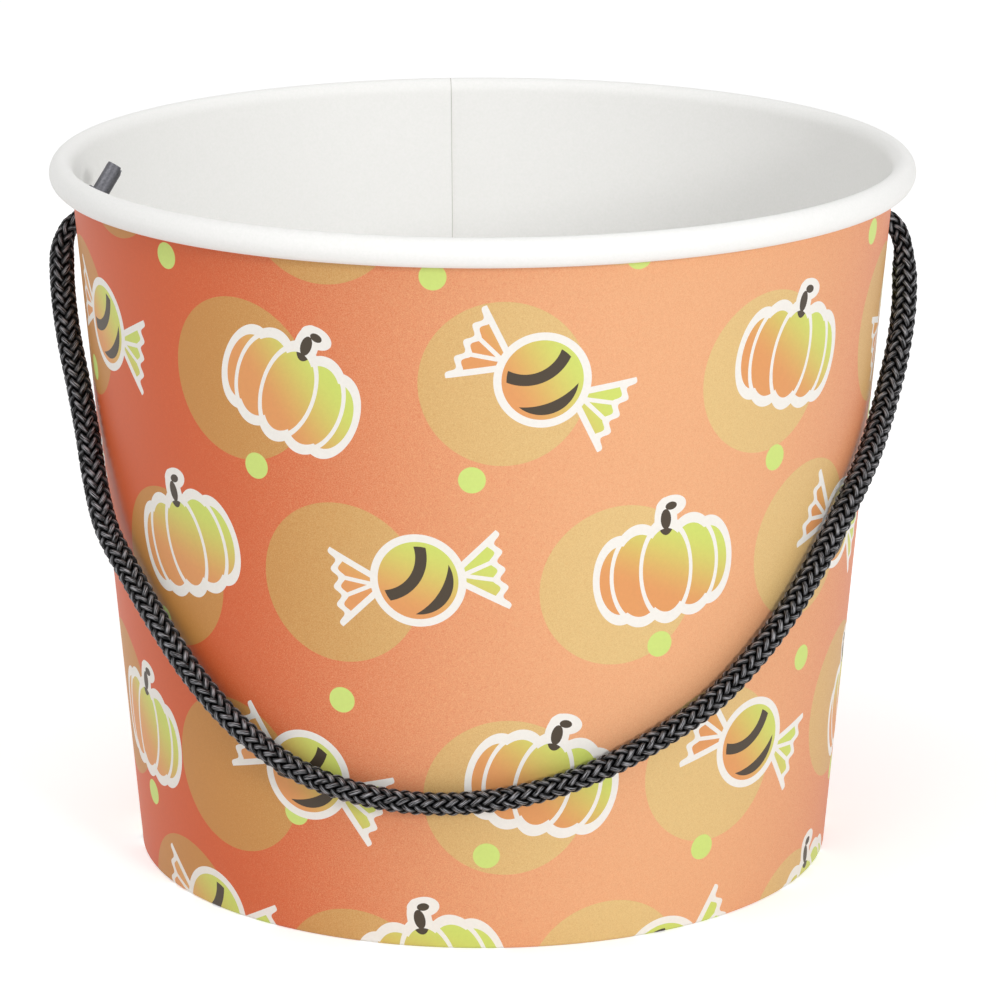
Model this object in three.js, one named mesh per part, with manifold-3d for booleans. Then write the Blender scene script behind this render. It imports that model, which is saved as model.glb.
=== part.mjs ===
// Cardboard candy bucket: a coated paperboard tub with a rolled rim, a base disc set in the
// folded foot, and a braided rope handle held inside by two crimped end clips.
// Millimetres, +Z up. The tub stands on z = 0 with its axis on Z. The handle holes lie on the
// X axis, the front faces -Y, and the rope hangs down over the front.
import * as THREE from "three";
import { mergeVertices } from "three/addons/utils/BufferGeometryUtils.js";
import Module from "manifold-3d";

// Tub: outside sizes
const HEIGHT = 149; // foot to the top of the rolled rim
const TOP_DIAMETER = 180; // over the rolled rim
const BASE_DIAMETER = 146.8; // over the wall at the foot
const BOARD = 0.55; // coated paperboard

// Rolled rim: the top edge of the wall curled outwards, down and into itself
const ROLL_WIDTH = 5; // inner face of the wall to the outside of the roll
const ROLL_HEIGHT = 6.3;
const ROLL_GAP = 0.35; // between the layers of the roll
const ROLL_TURN = 396; // degrees that the edge is curled through
const ROLL_STEP = 18; // degrees

// Foot: the lower edge of the wall folded in and up round the skirt of the base disc
const FOLD_HEIGHT = 8.6;
const FOOT_CHAMFER = 0.35;
const BASE_HEIGHT = 10.4; // table to the floor of the tub
const SKIRT_LIFT = 0.5; // skirt above the bottom of its pocket
const SKIRT_CORNER = 1.1; // where the disc turns down into its skirt
const FIT = 0.3; // clearance between two sheets, and round the rope

// Side seam: the two ends of the sheet glued one over the other at the back
const SEAM_ANGLE = 95; // azimuth in degrees of the edge that shows inside
const LAP_WIDTH = 8.5;
const LAP_RISE = 0.45; // how far the outer end stands over the inner one
const LAP_RAMP = 4; // degrees in which the outer end comes back in line
const LAP_EDGE = 0.1; // degrees that a cut edge takes
const LAP_END = 4; // the lap stops this far under the roll

// Rope handle
const HOLE_HEIGHT = 134.5; // centre of the two punched holes
const ROPE_WIDTH = 5.6; // the cord lies a little flat, its wider way square to the wall
const ROPE_THICKNESS = 4.7;
const NECK_DIAMETER = 4.2; // where the hole and the clip squeeze the rope
const NECK_LENGTH = 8.5; // from the clip to where the rope starts to swell
const SWELL_LENGTH = 7; // in which it reaches its full size
const ROPE_LEAN = 43; // degrees between the rope and the axis of its hole
const ROPE_END = 34; // part of the rope at each end that bends as the handle swings
const ROPE_SIDES = 12;
const ROPE_STEP = 8;

// End clip: a crimped sleeve with a cross bar longer than the hole
const CLIP_DIAMETER = 3.8;
const CLIP_LENGTH = 7.6;
const CLIP_WALL = 0.5;
const CLIP_SLOT = 70; // degrees left open along the crimp
const CLIP_NOTCH = 1.2; // depth of the notch between the two ears at the tip
const BAR_LENGTH = 12;
const BAR_WIDTH = 3.4;
const BAR_THICKNESS = 0.6;
const BAR_CORNER = 1.2;

const SEGMENTS = 60; // facets round the tub

// Centre line of the rope from the left clip, over the front, to the right clip.
const ROPE_ROUTE = [
  [-80.8, 1.8, 138.6],
  [-82.3, 0.7, 136.2],
  [-84.3, 0.0, 134.5],
  [-86.3, -0.6, 132.9],
  [-87.6, -1.6, 129.8],
  [-87.9, -2.6, 126.0],
  [-87.5, -4.9, 119.0],
  [-86.1, -9.2, 110.8],
  [-83.7, -15.6, 101.9],
  [-81.6, -21.2, 93.0],
  [-80.0, -26.3, 85.6],
  [-77.3, -31.8, 76.5],
  [-71.4, -41.0, 68.4],
  [-65.1, -49.2, 60.3],
  [-57.9, -56.6, 51.9],
  [-48.7, -63.8, 43.7],
  [-37.0, -70.5, 37.0],
  [-24.5, -75.5, 33.7],
  [-12.5, -78.3, 32.6],
  [-0.6, -79.4, 33.2],
  [11.3, -78.7, 35.2],
  [23.2, -76.4, 38.9],
  [35.2, -72.1, 44.1],
  [46.0, -66.4, 50.1],
  [55.4, -59.8, 58.2],
  [62.9, -52.9, 66.6],
  [69.0, -45.9, 75.2],
  [74.5, -37.9, 83.5],
  [78.9, -29.0, 90.0],
  [82.1, -20.8, 96.2],
  [84.6, -14.6, 102.8],
  [86.6, -9.8, 109.8],
  [87.9, -5.6, 117.6],
  [88.0, -2.8, 125.4],
  [87.6, -1.6, 129.8],
  [86.3, -0.6, 132.9],
  [84.3, 0.0, 134.5],
  [82.0, 0.1, 133.9],
];

const ROLL_CENTRE_HEIGHT = HEIGHT - ROLL_HEIGHT / 2;
const ROLL_CENTRE_RADIUS = (TOP_DIAMETER - ROLL_WIDTH) / 2;
const HOLE_DIAMETER =
  NECK_DIAMETER / Math.cos(THREE.MathUtils.degToRad(ROPE_LEAN)) +
  BOARD * Math.tan(THREE.MathUtils.degToRad(ROPE_LEAN)) +
  2 * FIT;

const wasm = await Module();
wasm.setup();

// Radius of the wall's outer face at a height: a straight cone from the foot to the rim.
function outerRadius(z) {
  const top = TOP_DIAMETER / 2 - ROLL_WIDTH + BOARD;
  return THREE.MathUtils.mapLinear(
    z,
    0,
    ROLL_CENTRE_HEIGHT,
    BASE_DIAMETER / 2,
    top,
  );
}

function innerRadius(z) {
  return outerRadius(z) - BOARD;
}

function toSolid(geometry) {
  const bare = geometry.clone();
  bare.deleteAttribute("normal");
  bare.deleteAttribute("uv");
  const merged = mergeVertices(bare, 1e-4);
  return new wasm.Manifold(
    new wasm.Mesh({
      numProp: 3,
      vertProperties: merged.attributes.position.array,
      triVerts: new Uint32Array(merged.index.array),
    }),
  );
}

function toGeometry(solid) {
  const mesh = solid.getMesh();
  const geometry = new THREE.BufferGeometry();
  geometry.setAttribute(
    "position",
    new THREE.BufferAttribute(mesh.vertProperties, 3),
  );
  geometry.setIndex(new THREE.BufferAttribute(mesh.triVerts, 1));
  geometry.computeVertexNormals();
  return geometry;
}

// A closed skin through rings that all have the same number of points. The rings either close
// on themselves, as round the tub, or end in two flat caps, as along the rope.
function skin(rings, closed) {
  const count = rings[0].length;
  const points = rings.flat();
  const index = [];
  const last = closed ? rings.length : rings.length - 1;
  for (let i = 0; i < last; i++) {
    const here = i * count;
    const next = ((i + 1) % rings.length) * count;
    for (let j = 0; j < count; j++) {
      const k = (j + 1) % count;
      index.push(here + j, next + j, next + k, here + j, next + k, here + k);
    }
  }
  if (!closed) {
    const end = (rings.length - 1) * count;
    for (let j = 1; j < count - 1; j++) {
      index.push(0, j, j + 1);
      index.push(end, end + j + 1, end + j);
    }
  }
  const geometry = new THREE.BufferGeometry().setFromPoints(points);
  geometry.setIndex(index);
  geometry.computeVertexNormals();
  return geometry;
}

// The rolled rim's strip in section. Each layer runs just inside the one before it.
function rollSection(side) {
  const points = [];
  for (let turn = 0; turn <= ROLL_TURN; turn += ROLL_STEP) {
    const drawnIn =
      (BOARD + ROLL_GAP) * Math.max(0, (turn - 180) / 180) + side * BOARD;
    const angle = THREE.MathUtils.degToRad(180 - turn);
    points.push([
      ROLL_CENTRE_RADIUS + (ROLL_WIDTH / 2 - drawnIn) * Math.cos(angle),
      ROLL_CENTRE_HEIGHT + (ROLL_HEIGHT / 2 - drawnIn) * Math.sin(angle),
    ]);
  }
  return points;
}

// How far the lap lifts the outer and the inner face of the wall at an azimuth in degrees.
function lapRise(azimuth) {
  const lapEnd =
    SEAM_ANGLE +
    THREE.MathUtils.radToDeg(LAP_WIDTH / outerRadius(HEIGHT / 2));
  const ramp = THREE.MathUtils.clamp(
    (azimuth - SEAM_ANGLE + LAP_RAMP) / (LAP_RAMP - LAP_EDGE),
    0,
    1,
  );
  return {
    outer: azimuth < lapEnd - LAP_EDGE / 2 ? LAP_RISE * ramp : 0,
    inner: azimuth < SEAM_ANGLE - LAP_EDGE / 2 ? LAP_RISE * ramp : 0,
    end: lapEnd,
  };
}

// Section of the wall at an azimuth, run so that the board is on its left.
function wallSection(azimuth) {
  const lap = lapRise(azimuth);
  const lapTop = HEIGHT - ROLL_HEIGHT - LAP_END;
  const sheets = BOARD + 2 * FIT; // skirt and its clearance on both sides
  const foldOuter = (z) => innerRadius(z) - sheets;
  const foldInner = (z) => foldOuter(z) - BOARD;
  return [
    [outerRadius(0) - FOOT_CHAMFER, 0],
    [outerRadius(FOOT_CHAMFER), FOOT_CHAMFER],
    [outerRadius(FOLD_HEIGHT) + lap.outer, FOLD_HEIGHT],
    [outerRadius(lapTop) + lap.outer, lapTop],
    [outerRadius(lapTop + LAP_END), lapTop + LAP_END],
    ...rollSection(1),
    ...rollSection(0).reverse(),
    [innerRadius(lapTop + LAP_END), lapTop + LAP_END],
    [innerRadius(lapTop) + lap.inner, lapTop],
    [innerRadius(BASE_HEIGHT + LAP_END) + lap.inner, BASE_HEIGHT + LAP_END],
    [innerRadius(BASE_HEIGHT), BASE_HEIGHT],
    [innerRadius(BOARD), BOARD],
    [foldOuter(BOARD), BOARD],
    [foldOuter(FOLD_HEIGHT), FOLD_HEIGHT],
    [foldInner(FOLD_HEIGHT), FOLD_HEIGHT],
    [foldInner(FOOT_CHAMFER), FOOT_CHAMFER],
    [foldInner(0) + FOOT_CHAMFER, 0],
  ];
}

// Azimuths of the facets, with the two cut edges of the lap and its ramp among them.
function wallAzimuths() {
  const { end } = lapRise(0);
  const rampStart = SEAM_ANGLE - LAP_RAMP;
  const azimuths = [
    rampStart,
    SEAM_ANGLE - LAP_EDGE,
    SEAM_ANGLE,
    end - LAP_EDGE,
    end,
  ];
  for (let i = 0; i < SEGMENTS; i++) {
    const azimuth = (i * 360) / SEGMENTS;
    if (azimuth < rampStart - 0.5 || azimuth > end + 0.5) azimuths.push(azimuth);
  }
  return azimuths.sort((a, b) => a - b);
}

// One sheet of board: cone, rolled rim, lapped seam and folded foot, with two punched holes.
function sideWall() {
  const rings = wallAzimuths().map((azimuth) => {
    const angle = THREE.MathUtils.degToRad(azimuth);
    return wallSection(azimuth).map(
      ([r, z]) =>
        new THREE.Vector3(r * Math.cos(angle), r * Math.sin(angle), z),
    );
  });
  const punch = new THREE.CylinderGeometry(
    HOLE_DIAMETER / 2,
    HOLE_DIAMETER / 2,
    TOP_DIAMETER + ROPE_WIDTH,
    24,
  );
  punch.rotateZ(Math.PI / 2).translate(0, 0, HOLE_HEIGHT);
  return toGeometry(toSolid(skin(rings, true)).subtract(toSolid(punch)));
}

// The disc that closes the tub, turned down round its edge into a skirt.
function baseDisc() {
  const face = (z) => innerRadius(z) - FIT;
  const top = BASE_HEIGHT;
  const under = top - BOARD;
  const turn = top - SKIRT_CORNER;
  const low = BOARD + SKIRT_LIFT;
  const profile = [
    new THREE.Vector2(0, under),
    new THREE.Vector2(face(under) - SKIRT_CORNER, under),
    new THREE.Vector2(face(turn) - BOARD, turn),
    new THREE.Vector2(face(low) - BOARD, low),
    new THREE.Vector2(face(low), low),
    new THREE.Vector2(face(turn), turn),
    new THREE.Vector2(face(top) - SKIRT_CORNER / 3, top - SKIRT_CORNER / 3),
    new THREE.Vector2(face(top) - SKIRT_CORNER, top),
    new THREE.Vector2(0, top),
  ];
  return new THREE.LatheGeometry(profile, SEGMENTS).rotateX(Math.PI / 2);
}

// How far the rope has swollen from its neck, from 0 to 1, at a distance from the nearer clip.
function ropeSwell(fromClip) {
  return THREE.MathUtils.smoothstep(
    fromClip,
    NECK_LENGTH,
    NECK_LENGTH + SWELL_LENGTH,
  );
}

// The stretch of rope between two distances along its route.
function ropeStretch(route, from, to) {
  const length = route.getLength();
  const swollen = NECK_LENGTH + SWELL_LENGTH;
  const rings = [];
  let at = from;
  while (at <= to) {
    const centre = route.getPointAt(at / length);
    const along = route.getTangentAt(at / length);
    const outward = new THREE.Vector3(centre.x, centre.y, 0);
    const side = outward.cross(along).normalize();
    const up = new THREE.Vector3().crossVectors(along, side);
    const swell = ropeSwell(Math.min(at, length - at));
    const thick = THREE.MathUtils.lerp(NECK_DIAMETER, ROPE_THICKNESS, swell);
    const wide = THREE.MathUtils.lerp(NECK_DIAMETER, ROPE_WIDTH, swell);
    const ring = [];
    for (let k = 0; k < ROPE_SIDES; k++) {
      const angle = (2 * Math.PI * k) / ROPE_SIDES;
      ring.push(
        centre
          .clone()
          .addScaledVector(side, (thick / 2) * Math.cos(angle))
          .addScaledVector(up, (-wide / 2) * Math.sin(angle)),
      );
    }
    rings.push(ring);
    if (at === to) break;
    const nearClip = Math.min(at, length - at) < swollen + ROPE_STEP;
    at = Math.min(at + (nearClip ? NECK_DIAMETER / 3 : ROPE_STEP), to);
  }
  return skin(rings, false);
}

// The clip stands on the XY plane, its cross bar along X and the rope's end inside it on Z.
function endClip() {
  const half = BAR_LENGTH / 2 - BAR_CORNER;
  const across = BAR_WIDTH / 2 - BAR_CORNER;
  const bar = new THREE.Shape();
  bar.absarc(half, across, BAR_CORNER, 0, Math.PI / 2);
  bar.absarc(-half, across, BAR_CORNER, Math.PI / 2, Math.PI);
  bar.absarc(-half, -across, BAR_CORNER, Math.PI, 1.5 * Math.PI);
  bar.absarc(half, -across, BAR_CORNER, 1.5 * Math.PI, 2 * Math.PI);
  const bore = new THREE.Path();
  bore.absarc(0, 0, CLIP_DIAMETER / 2 - CLIP_WALL, 0, 2 * Math.PI, true);
  bar.holes.push(bore);

  const open = THREE.MathUtils.degToRad(CLIP_SLOT) / 2;
  const outer = CLIP_DIAMETER / 2;
  const sleeve = new THREE.Shape();
  sleeve.absarc(0, 0, outer, Math.PI / 2 + open, 2.5 * Math.PI - open);
  sleeve.absarc(
    0,
    0,
    outer - CLIP_WALL,
    2.5 * Math.PI - open,
    Math.PI / 2 + open,
    true,
  );
  const notch = new THREE.CylinderGeometry(
    CLIP_NOTCH,
    CLIP_NOTCH,
    2 * CLIP_DIAMETER,
    16,
  );
  notch.translate(0, 0, CLIP_LENGTH);
  const plate = new THREE.ExtrudeGeometry(bar, {
    depth: BAR_THICKNESS,
    bevelEnabled: false,
    curveSegments: 6,
  });
  const tube = new THREE.ExtrudeGeometry(sleeve, {
    depth: CLIP_LENGTH,
    bevelEnabled: false,
    curveSegments: 18,
  });
  return toGeometry(
    toSolid(plate).add(toSolid(tube)).subtract(toSolid(notch)),
  );
}

function board(color) {
  return new THREE.MeshStandardMaterial({
    color,
    roughness: 0.45,
    metalness: 0,
  });
}

const cord = new THREE.MeshStandardMaterial({
  color: 0x17161a,
  roughness: 0.5,
  metalness: 0,
});
const steel = new THREE.MeshStandardMaterial({
  color: 0x4a4b50,
  roughness: 0.4,
  metalness: 0.8,
});

function piece(name, geometry, material) {
  const mesh = new THREE.Mesh(geometry, material);
  mesh.name = name;
  return mesh;
}

// A clip in line with an end of the rope, 0 or 1: its axis follows the rope and its bar lies
// square to the axis of the hole.
function placedClip(name, route, end) {
  const clip = piece(name, endClip(), steel);
  const axis = route.getTangentAt(end).multiplyScalar(end ? 1 : -1);
  const barAxis = new THREE.Vector3(1, 0, 0).cross(axis).normalize().negate();
  const outward = new THREE.Vector3().crossVectors(axis, barAxis);
  clip.quaternion.setFromRotationMatrix(
    new THREE.Matrix4().makeBasis(barAxis, outward, axis),
  );
  clip.position.copy(route.getPointAt(end)).addScaledVector(axis, FIT);
  return clip;
}

const route = new THREE.CatmullRomCurve3(
  ROPE_ROUTE.map((point) => new THREE.Vector3(...point)),
);
route.arcLengthDivisions = 2000;
const ropeLength = route.getLength();

const bucket = new THREE.Group();
bucket.add(
  piece("side_wall", sideWall(), board(0xe2734f)),
  piece("base_disc", baseDisc(), board(0xf4f2ec)),
  piece("rope_left_end", ropeStretch(route, 0, ROPE_END), cord),
  piece(
    "rope_loop",
    ropeStretch(route, ROPE_END + FIT, ropeLength - ROPE_END - FIT),
    cord,
  ),
  piece(
    "rope_right_end",
    ropeStretch(route, ropeLength - ROPE_END, ropeLength),
    cord,
  ),
  placedClip("left_end_clip", route, 0),
  placedClip("right_end_clip", route, 1),
);

export default bucket;
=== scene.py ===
# %% [markdown]
# # A paperboard candy bucket with a rope handle
#
# The real bucket is one printed sheet of coated board, rolled into a cone, with its top edge
# curled outwards and its bottom edge folded in round a board disc. A braided cord hangs from
# two punched holes and is kept there by crimped metal ends. The CAD model of these pieces is
# loaded first and never changed. Each step then makes one piece as it shows from close by,
# and hides the plain solid that it stands for.

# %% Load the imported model
import math

import bpy
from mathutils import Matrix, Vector


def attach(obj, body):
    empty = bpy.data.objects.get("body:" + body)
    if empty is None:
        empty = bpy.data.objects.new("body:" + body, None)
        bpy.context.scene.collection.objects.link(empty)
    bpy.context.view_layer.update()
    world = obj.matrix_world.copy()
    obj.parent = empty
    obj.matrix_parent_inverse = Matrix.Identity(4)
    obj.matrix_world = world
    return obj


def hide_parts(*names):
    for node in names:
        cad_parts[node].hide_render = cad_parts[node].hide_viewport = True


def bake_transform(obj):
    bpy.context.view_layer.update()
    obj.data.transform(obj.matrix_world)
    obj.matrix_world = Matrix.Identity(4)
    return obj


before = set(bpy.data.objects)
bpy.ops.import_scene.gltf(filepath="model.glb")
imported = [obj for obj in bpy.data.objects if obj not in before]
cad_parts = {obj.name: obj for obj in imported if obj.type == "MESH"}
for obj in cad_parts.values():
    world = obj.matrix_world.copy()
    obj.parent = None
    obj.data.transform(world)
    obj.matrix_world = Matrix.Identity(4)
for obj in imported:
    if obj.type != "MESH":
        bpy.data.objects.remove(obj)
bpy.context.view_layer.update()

MM = 0.001
print("nodes:", sorted(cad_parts))

# %% [markdown]
# ## The camera
#
# A product photograph is taken from far away with a long lens, so that the rim and the foot
# look like ellipses of nearly the same shape. The place, tilt and lens below come from those
# two ellipses: a metre away, a little above the rim, looking down by fifteen degrees.

# %% Camera
CAMERA_PLACE = (3.6 * MM, -949.5 * MM, 331.3 * MM)
LOOK_DOWN = math.radians(15.18)
LENS = 166.8
SENSOR = 36.0

camera_data = bpy.data.cameras.new("photo_camera")
camera_data.lens = LENS
camera_data.sensor_width = SENSOR
camera = bpy.data.objects.new("photo_camera", camera_data)
camera.location = CAMERA_PLACE
camera.rotation_euler = (math.pi / 2 - LOOK_DOWN, 0, 0)
bpy.context.collection.objects.link(camera)
bpy.context.scene.camera = camera

# %% [markdown]
# ## The route of the rope
#
# A cord has a fixed length and hangs where its weight takes it, so its shape is a line through
# space before it is a surface. These points are the ones that the CAD model follows, from the
# clip inside the left hole, over the front of the bucket, to the clip inside the right hole. A
# smooth curve through them gives the centre line, and a frame that is carried along without
# twisting says which way is sideways at every point.

# %% Centre line of the rope
ROPE_WIDTH = 5.6 * MM
ROPE_THICKNESS = 4.7 * MM
ROPE_DIAMETER = (ROPE_WIDTH + ROPE_THICKNESS) / 2
NECK_DIAMETER = 4.2 * MM
NECK_LENGTH = 8.5 * MM
SWELL_LENGTH = 7.0 * MM
ROPE_END = 34.0 * MM
ROPE_STEP = 0.45 * MM
HOLE_HEIGHT = 134.5 * MM

ROPE_ROUTE_MM = [
    (-80.8, 1.8, 138.6),
    (-82.3, 0.7, 136.2),
    (-84.3, 0.0, 134.5),
    (-86.3, -0.6, 132.9),
    (-87.6, -1.6, 129.8),
    (-87.9, -2.6, 126.0),
    (-87.5, -4.9, 119.0),
    (-86.1, -9.2, 110.8),
    (-83.7, -15.6, 101.9),
    (-81.6, -21.2, 93.0),
    (-80.0, -26.3, 85.6),
    (-77.3, -31.8, 76.5),
    (-71.4, -41.0, 68.4),
    (-65.1, -49.2, 60.3),
    (-57.9, -56.6, 51.9),
    (-48.7, -63.8, 43.7),
    (-37.0, -70.5, 37.0),
    (-24.5, -75.5, 33.7),
    (-12.5, -78.3, 32.6),
    (-0.6, -79.4, 33.2),
    (11.3, -78.7, 35.2),
    (23.2, -76.4, 38.9),
    (35.2, -72.1, 44.1),
    (46.0, -66.4, 50.1),
    (55.4, -59.8, 58.2),
    (62.9, -52.9, 66.6),
    (69.0, -45.9, 75.2),
    (74.5, -37.9, 83.5),
    (78.9, -29.0, 90.0),
    (82.1, -20.8, 96.2),
    (84.6, -14.6, 102.8),
    (86.6, -9.8, 109.8),
    (87.9, -5.6, 117.6),
    (88.0, -2.8, 125.4),
    (87.6, -1.6, 129.8),
    (86.3, -0.6, 132.9),
    (84.3, 0.0, 134.5),
    (82.0, 0.1, 133.9),
]


def smooth_line(points, steps=40):
    """Points close together on a centripetal curve through the given points."""
    line = []
    for i in range(len(points) - 1):
        p1, p2 = points[i], points[i + 1]
        p0 = points[i - 1] if i else 2 * p1 - p2
        p3 = points[i + 2] if i + 2 < len(points) else 2 * p2 - p1
        d0 = math.sqrt((p1 - p0).length)
        d1 = math.sqrt((p2 - p1).length)
        d2 = math.sqrt((p3 - p2).length)
        leave = ((p1 - p0) / d0 - (p2 - p0) / (d0 + d1) + (p2 - p1) / d1) * d1
        arrive = ((p2 - p1) / d1 - (p3 - p1) / (d1 + d2) + (p3 - p2) / d2) * d1
        for k in range(steps):
            t = k / steps
            bend = (3 * t * t - 2 * t ** 3) * (p2 - p1)
            start_pull = (t ** 3 - 2 * t * t + t) * leave
            end_pull = (t ** 3 - t * t) * arrive
            line.append(p1 + bend + start_pull + end_pull)
    return line + [points[-1]]


def along(line, step):
    """The line again, with its points the same distance apart, and that distance."""
    reach = [0.0]
    for a, b in zip(line, line[1:]):
        reach.append(reach[-1] + (b - a).length)
    count = max(2, round(reach[-1] / step))
    even, i = [], 0
    for k in range(count + 1):
        at = reach[-1] * k / count
        while i < len(line) - 2 and reach[i + 1] < at:
            i += 1
        share = (at - reach[i]) / (reach[i + 1] - reach[i])
        even.append(line[i].lerp(line[i + 1], min(1.0, share)))
    return even, reach[-1] / count


def carried_frames(line):
    """Two directions across the line at each point, carried along it without twist."""
    frames = []
    side = Vector((0, 0, 1))
    for i, point in enumerate(line):
        ahead = line[min(i + 1, len(line) - 1)] - line[max(i - 1, 0)]
        ahead.normalize()
        side = (side - ahead * side.dot(ahead)).normalized()
        frames.append((side.copy(), ahead.cross(side)))
    return frames


route = smooth_line([Vector(p) * MM for p in ROPE_ROUTE_MM])
rope_line, rope_step = along(route, ROPE_STEP)
rope_frames = carried_frames(rope_line)
rope_length = rope_step * (len(rope_line) - 1)
print(f"rope: {rope_length / MM:.1f} mm from clip to clip, {len(rope_line)} steps")

# %% [markdown]
# ## The braid
#
# The cord is a braid of sixteen strands of black polypropylene yarn. Eight turn to the left and
# eight to the right, and each passes over two and under two of the others. Where a strand lies on
# top depends only on its place round the cord, so the stitches line up in eight columns that lean
# to and fro as chevrons, which is what the eye sees from a metre away. Each strand is swept here as
# a flat oval along its own wavy helix, over a plain core that keeps light from showing through.
# Round braid lies a little flat once it has been on a reel, so the round form is pressed into an
# oval at the end. The cord is cut where one part of it bends apart from the next, and the strands
# run on through the cuts. The mesh also keeps two maps for the yarn's finish and its painted
# highlight: how far round and along its strand each point is, and how much the strand lies on top
# there, which says where the highlight is painted.

# %% Strands
STRANDS_EACH_WAY = 8
COLUMNS_ROUND = 8
LAY_LENGTH = 19.5 * MM
STRAND_WIDTH = 1.25 * MM
STRAND_THICKNESS = 0.95 * MM
WEAVE_DEPTH = 0.5 * MM
WEAVE_SQUARENESS = 0.4
STRAND_SIDES = 8
CORE_SIDES = 12
UNDER_ALL = -1.0


def rope_swell(index):
    """How far the rope has swollen from its neck at a step, from 0 to 1."""
    near_clip = min(index, len(rope_line) - 1 - index) * rope_step
    t = min(max((near_clip - NECK_LENGTH) / SWELL_LENGTH, 0), 1)
    return t * t * (3 - 2 * t)


def rope_scale(index):
    """The rope's diameter at a step, as a share of its full diameter."""
    narrow = NECK_DIAMETER / ROPE_DIAMETER
    return narrow + (1 - narrow) * rope_swell(index)


def pressed(point, index):
    """Where a point of the round rope lies once it is pressed flat square to the wall."""
    centre = rope_line[index]
    side, up = rope_frames[index]
    ahead = side.cross(up)
    level = Vector((centre.x, centre.y, 0)).cross(ahead).normalized()
    away = ahead.cross(level)
    offset = point - centre
    swell = rope_swell(index)
    offset += level * offset.dot(level) * (ROPE_THICKNESS / ROPE_DIAMETER - 1) * swell
    offset += away * offset.dot(away) * (ROPE_WIDTH / ROPE_DIAMETER - 1) * swell
    return centre + offset


def strand_rings(hand, number, first, last):
    """Rings of points of one strand between two steps, and how much each lies on top."""
    middle = ROPE_DIAMETER / 2 - STRAND_THICKNESS / 2 - WEAVE_DEPTH
    centres, outs, tops = [], [], []
    for i in range(first - 1, last + 2):
        at = min(max(i, 0), len(rope_line) - 1)
        turn = hand * i * rope_step / LAY_LENGTH + number / STRANDS_EACH_WAY
        angle = 2 * math.pi * turn
        wave = math.cos(COLUMNS_ROUND / 2 * angle - math.pi / 4)
        level = math.tanh(WEAVE_SQUARENESS * wave) / math.tanh(WEAVE_SQUARENESS)
        side, up = rope_frames[at]
        out = side * math.cos(angle) + up * math.sin(angle)
        radius = (middle + hand * WEAVE_DEPTH * level) * rope_scale(at)
        beyond = (i - at) * rope_step
        ahead = side.cross(up)
        centres.append(rope_line[at] + out * radius + ahead * beyond)
        outs.append(out)
        tops.append(hand * level)
    rings = []
    for k in range(1, len(centres) - 1):
        at = first - 1 + k
        scale = rope_scale(at)
        forward = (centres[k + 1] - centres[k - 1]).normalized()
        across = forward.cross(outs[k]).normalized()
        lift = across.cross(forward)
        ring = []
        for j in range(STRAND_SIDES):
            a = 2 * math.pi * j / STRAND_SIDES
            wide = across * math.cos(a) * STRAND_WIDTH / 2
            thick = lift * math.sin(a) * STRAND_THICKNESS / 2
            ring.append(pressed(centres[k] + (wide + thick) * scale, at))
        rings.append(ring)
    return rings, tops[1:-1]


def core_rings(first, last):
    """Rings of the plain core under the strands."""
    rings = []
    radius = ROPE_DIAMETER / 2 - STRAND_THICKNESS - WEAVE_DEPTH
    for i in range(first, last + 1):
        side, up = rope_frames[i]
        ring = []
        for j in range(CORE_SIDES):
            a = 2 * math.pi * j / CORE_SIDES
            out = side * math.cos(a) + up * math.sin(a)
            ring.append(pressed(rope_line[i] + out * radius * rope_scale(i), i))
        rings.append(ring)
    return rings


def add_tube(rings, points, faces, uvs):
    """Adds a closed tube through the rings to the lists of a mesh that is being made."""
    base, sides = len(points), len(rings[0])
    for ring in rings:
        points.extend(ring)
    for i in range(len(rings) - 1):
        for j in range(sides):
            k = (j + 1) % sides
            here, there = base + i * sides, base + (i + 1) * sides
            faces.append((here + j, here + k, there + k, there + j))
            uvs.append([(j, i), (j + 1, i), (j + 1, i + 1), (j, i + 1)])
    end = base + (len(rings) - 1) * sides
    faces.append(tuple(base + j for j in reversed(range(sides))))
    faces.append(tuple(end + j for j in range(sides)))
    uvs.append([(0, 0)] * sides)
    uvs.append([(0, len(rings) - 1)] * sides)


def braid(name, first, last):
    """The cord between two steps of its line: the strands over their core, as one mesh."""
    points, faces, uvs = [], [], []
    add_tube(core_rings(first, last), points, faces, uvs)
    on_top = [UNDER_ALL] * len(points)
    for hand in (1, -1):
        for number in range(STRANDS_EACH_WAY):
            rings, tops = strand_rings(hand, number, first, last)
            add_tube(rings, points, faces, uvs)
            on_top += [top for top in tops for _ in range(STRAND_SIDES)]
    mesh = bpy.data.meshes.new(name)
    mesh.from_pydata(points, [], faces)
    layer = mesh.uv_layers.new(name="yarn")
    flat = [value for face in uvs for value in face]
    for loop, (j, i) in zip(layer.data, flat):
        loop.uv = (j / STRAND_SIDES, i * rope_step / STRAND_WIDTH)
    mesh.attributes.new("on_top", "FLOAT", "POINT").data.foreach_set("value", on_top)
    mesh.polygons.foreach_set("use_smooth", [True] * len(mesh.polygons))
    mesh.update()
    piece = bpy.data.objects.new(name, mesh)
    bpy.context.collection.objects.link(piece)
    print(f"{name}: {len(mesh.polygons)} faces")
    return piece


cut_left = round(ROPE_END / rope_step)
cut_right = len(rope_line) - 1 - cut_left
middle_step = min(range(len(rope_line)), key=lambda i: abs(rope_line[i].x))
neck_left = braid("rope_neck_left", 0, cut_left)
rope_left = braid("rope_left", cut_left, middle_step)
rope_right = braid("rope_right", middle_step, cut_right)
neck_right = braid("rope_neck_right", cut_right, len(rope_line) - 1)
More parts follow.
